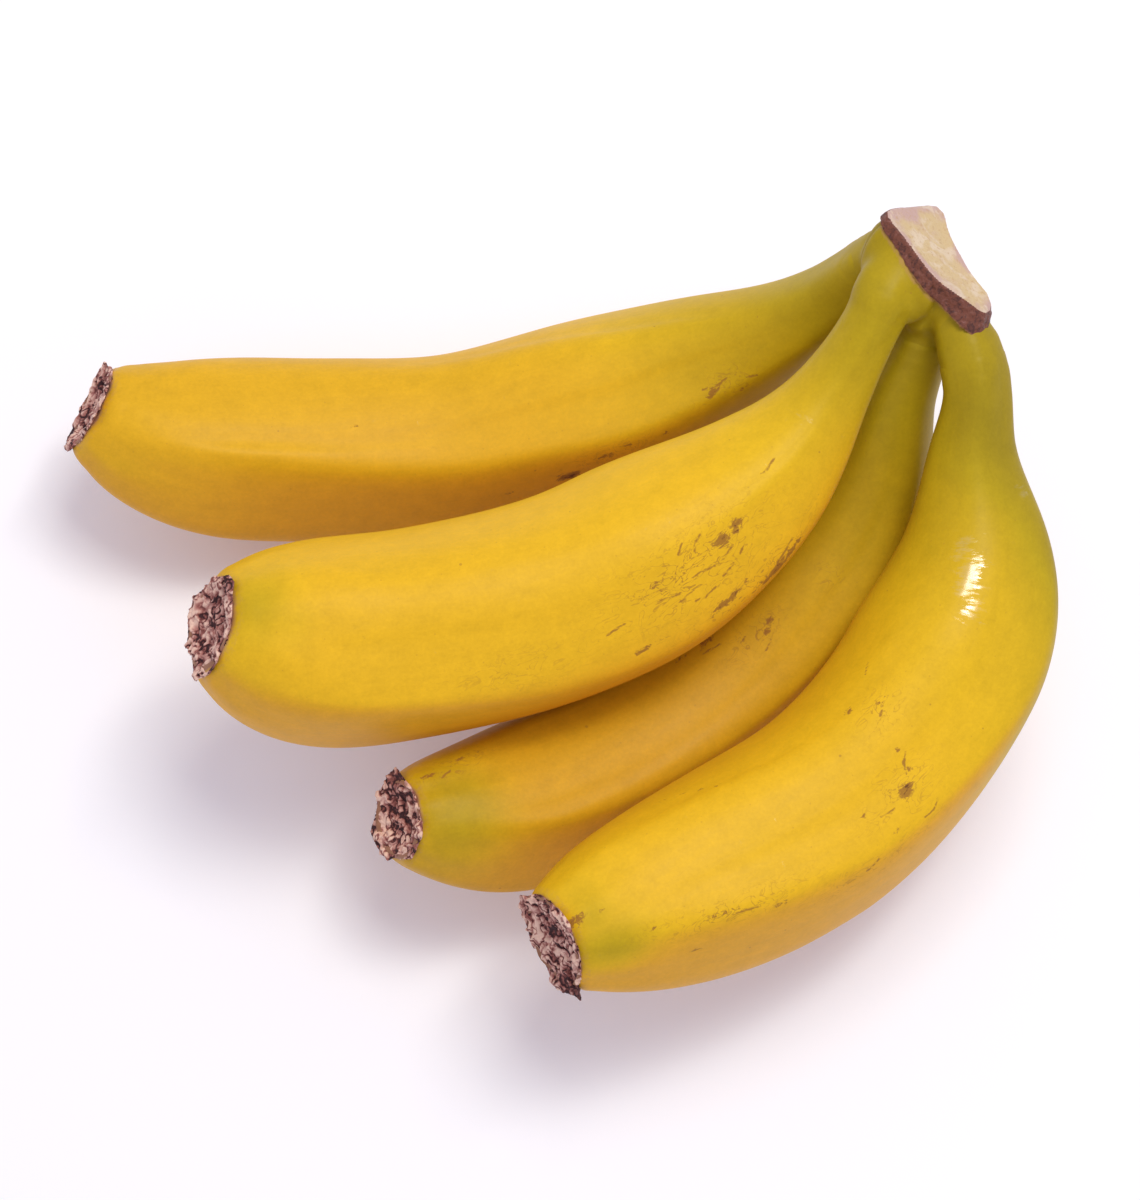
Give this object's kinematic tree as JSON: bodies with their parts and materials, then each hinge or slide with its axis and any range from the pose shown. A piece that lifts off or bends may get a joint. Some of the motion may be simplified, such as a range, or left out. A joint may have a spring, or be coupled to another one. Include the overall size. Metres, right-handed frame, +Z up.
{
  "type": "bunch of bananas",
  "caption": "Ripe yellow bananas fanned out from a cut crown and lying in layers on a surface, with green-tinged necks and dried flower ends.",
  "frame": {"origin": "centre of the bunch's footprint, on the surface it lies on", "axes": "+Z up, +X along the bunch towards the crown, flower ends towards -X and -Y, +Y towards the rearmost finger"},
  "size_m": [0.1918, 0.1456, 0.0814],
  "materials": {
    "peel": "satin",
    "cut_crown": "matte",
    "dried_flower": "matte"
  },
  "bodies": {
    "root": {"banana_1": "peel", "banana_2": "peel", "banana_3": "peel", "banana_4": "peel", "crown": "cut_crown", "blossom_end_1": "dried_flower", "blossom_end_2": "dried_flower", "blossom_end_3": "dried_flower", "blossom_end_4": "dried_flower"}
  },
  "joints": []
}
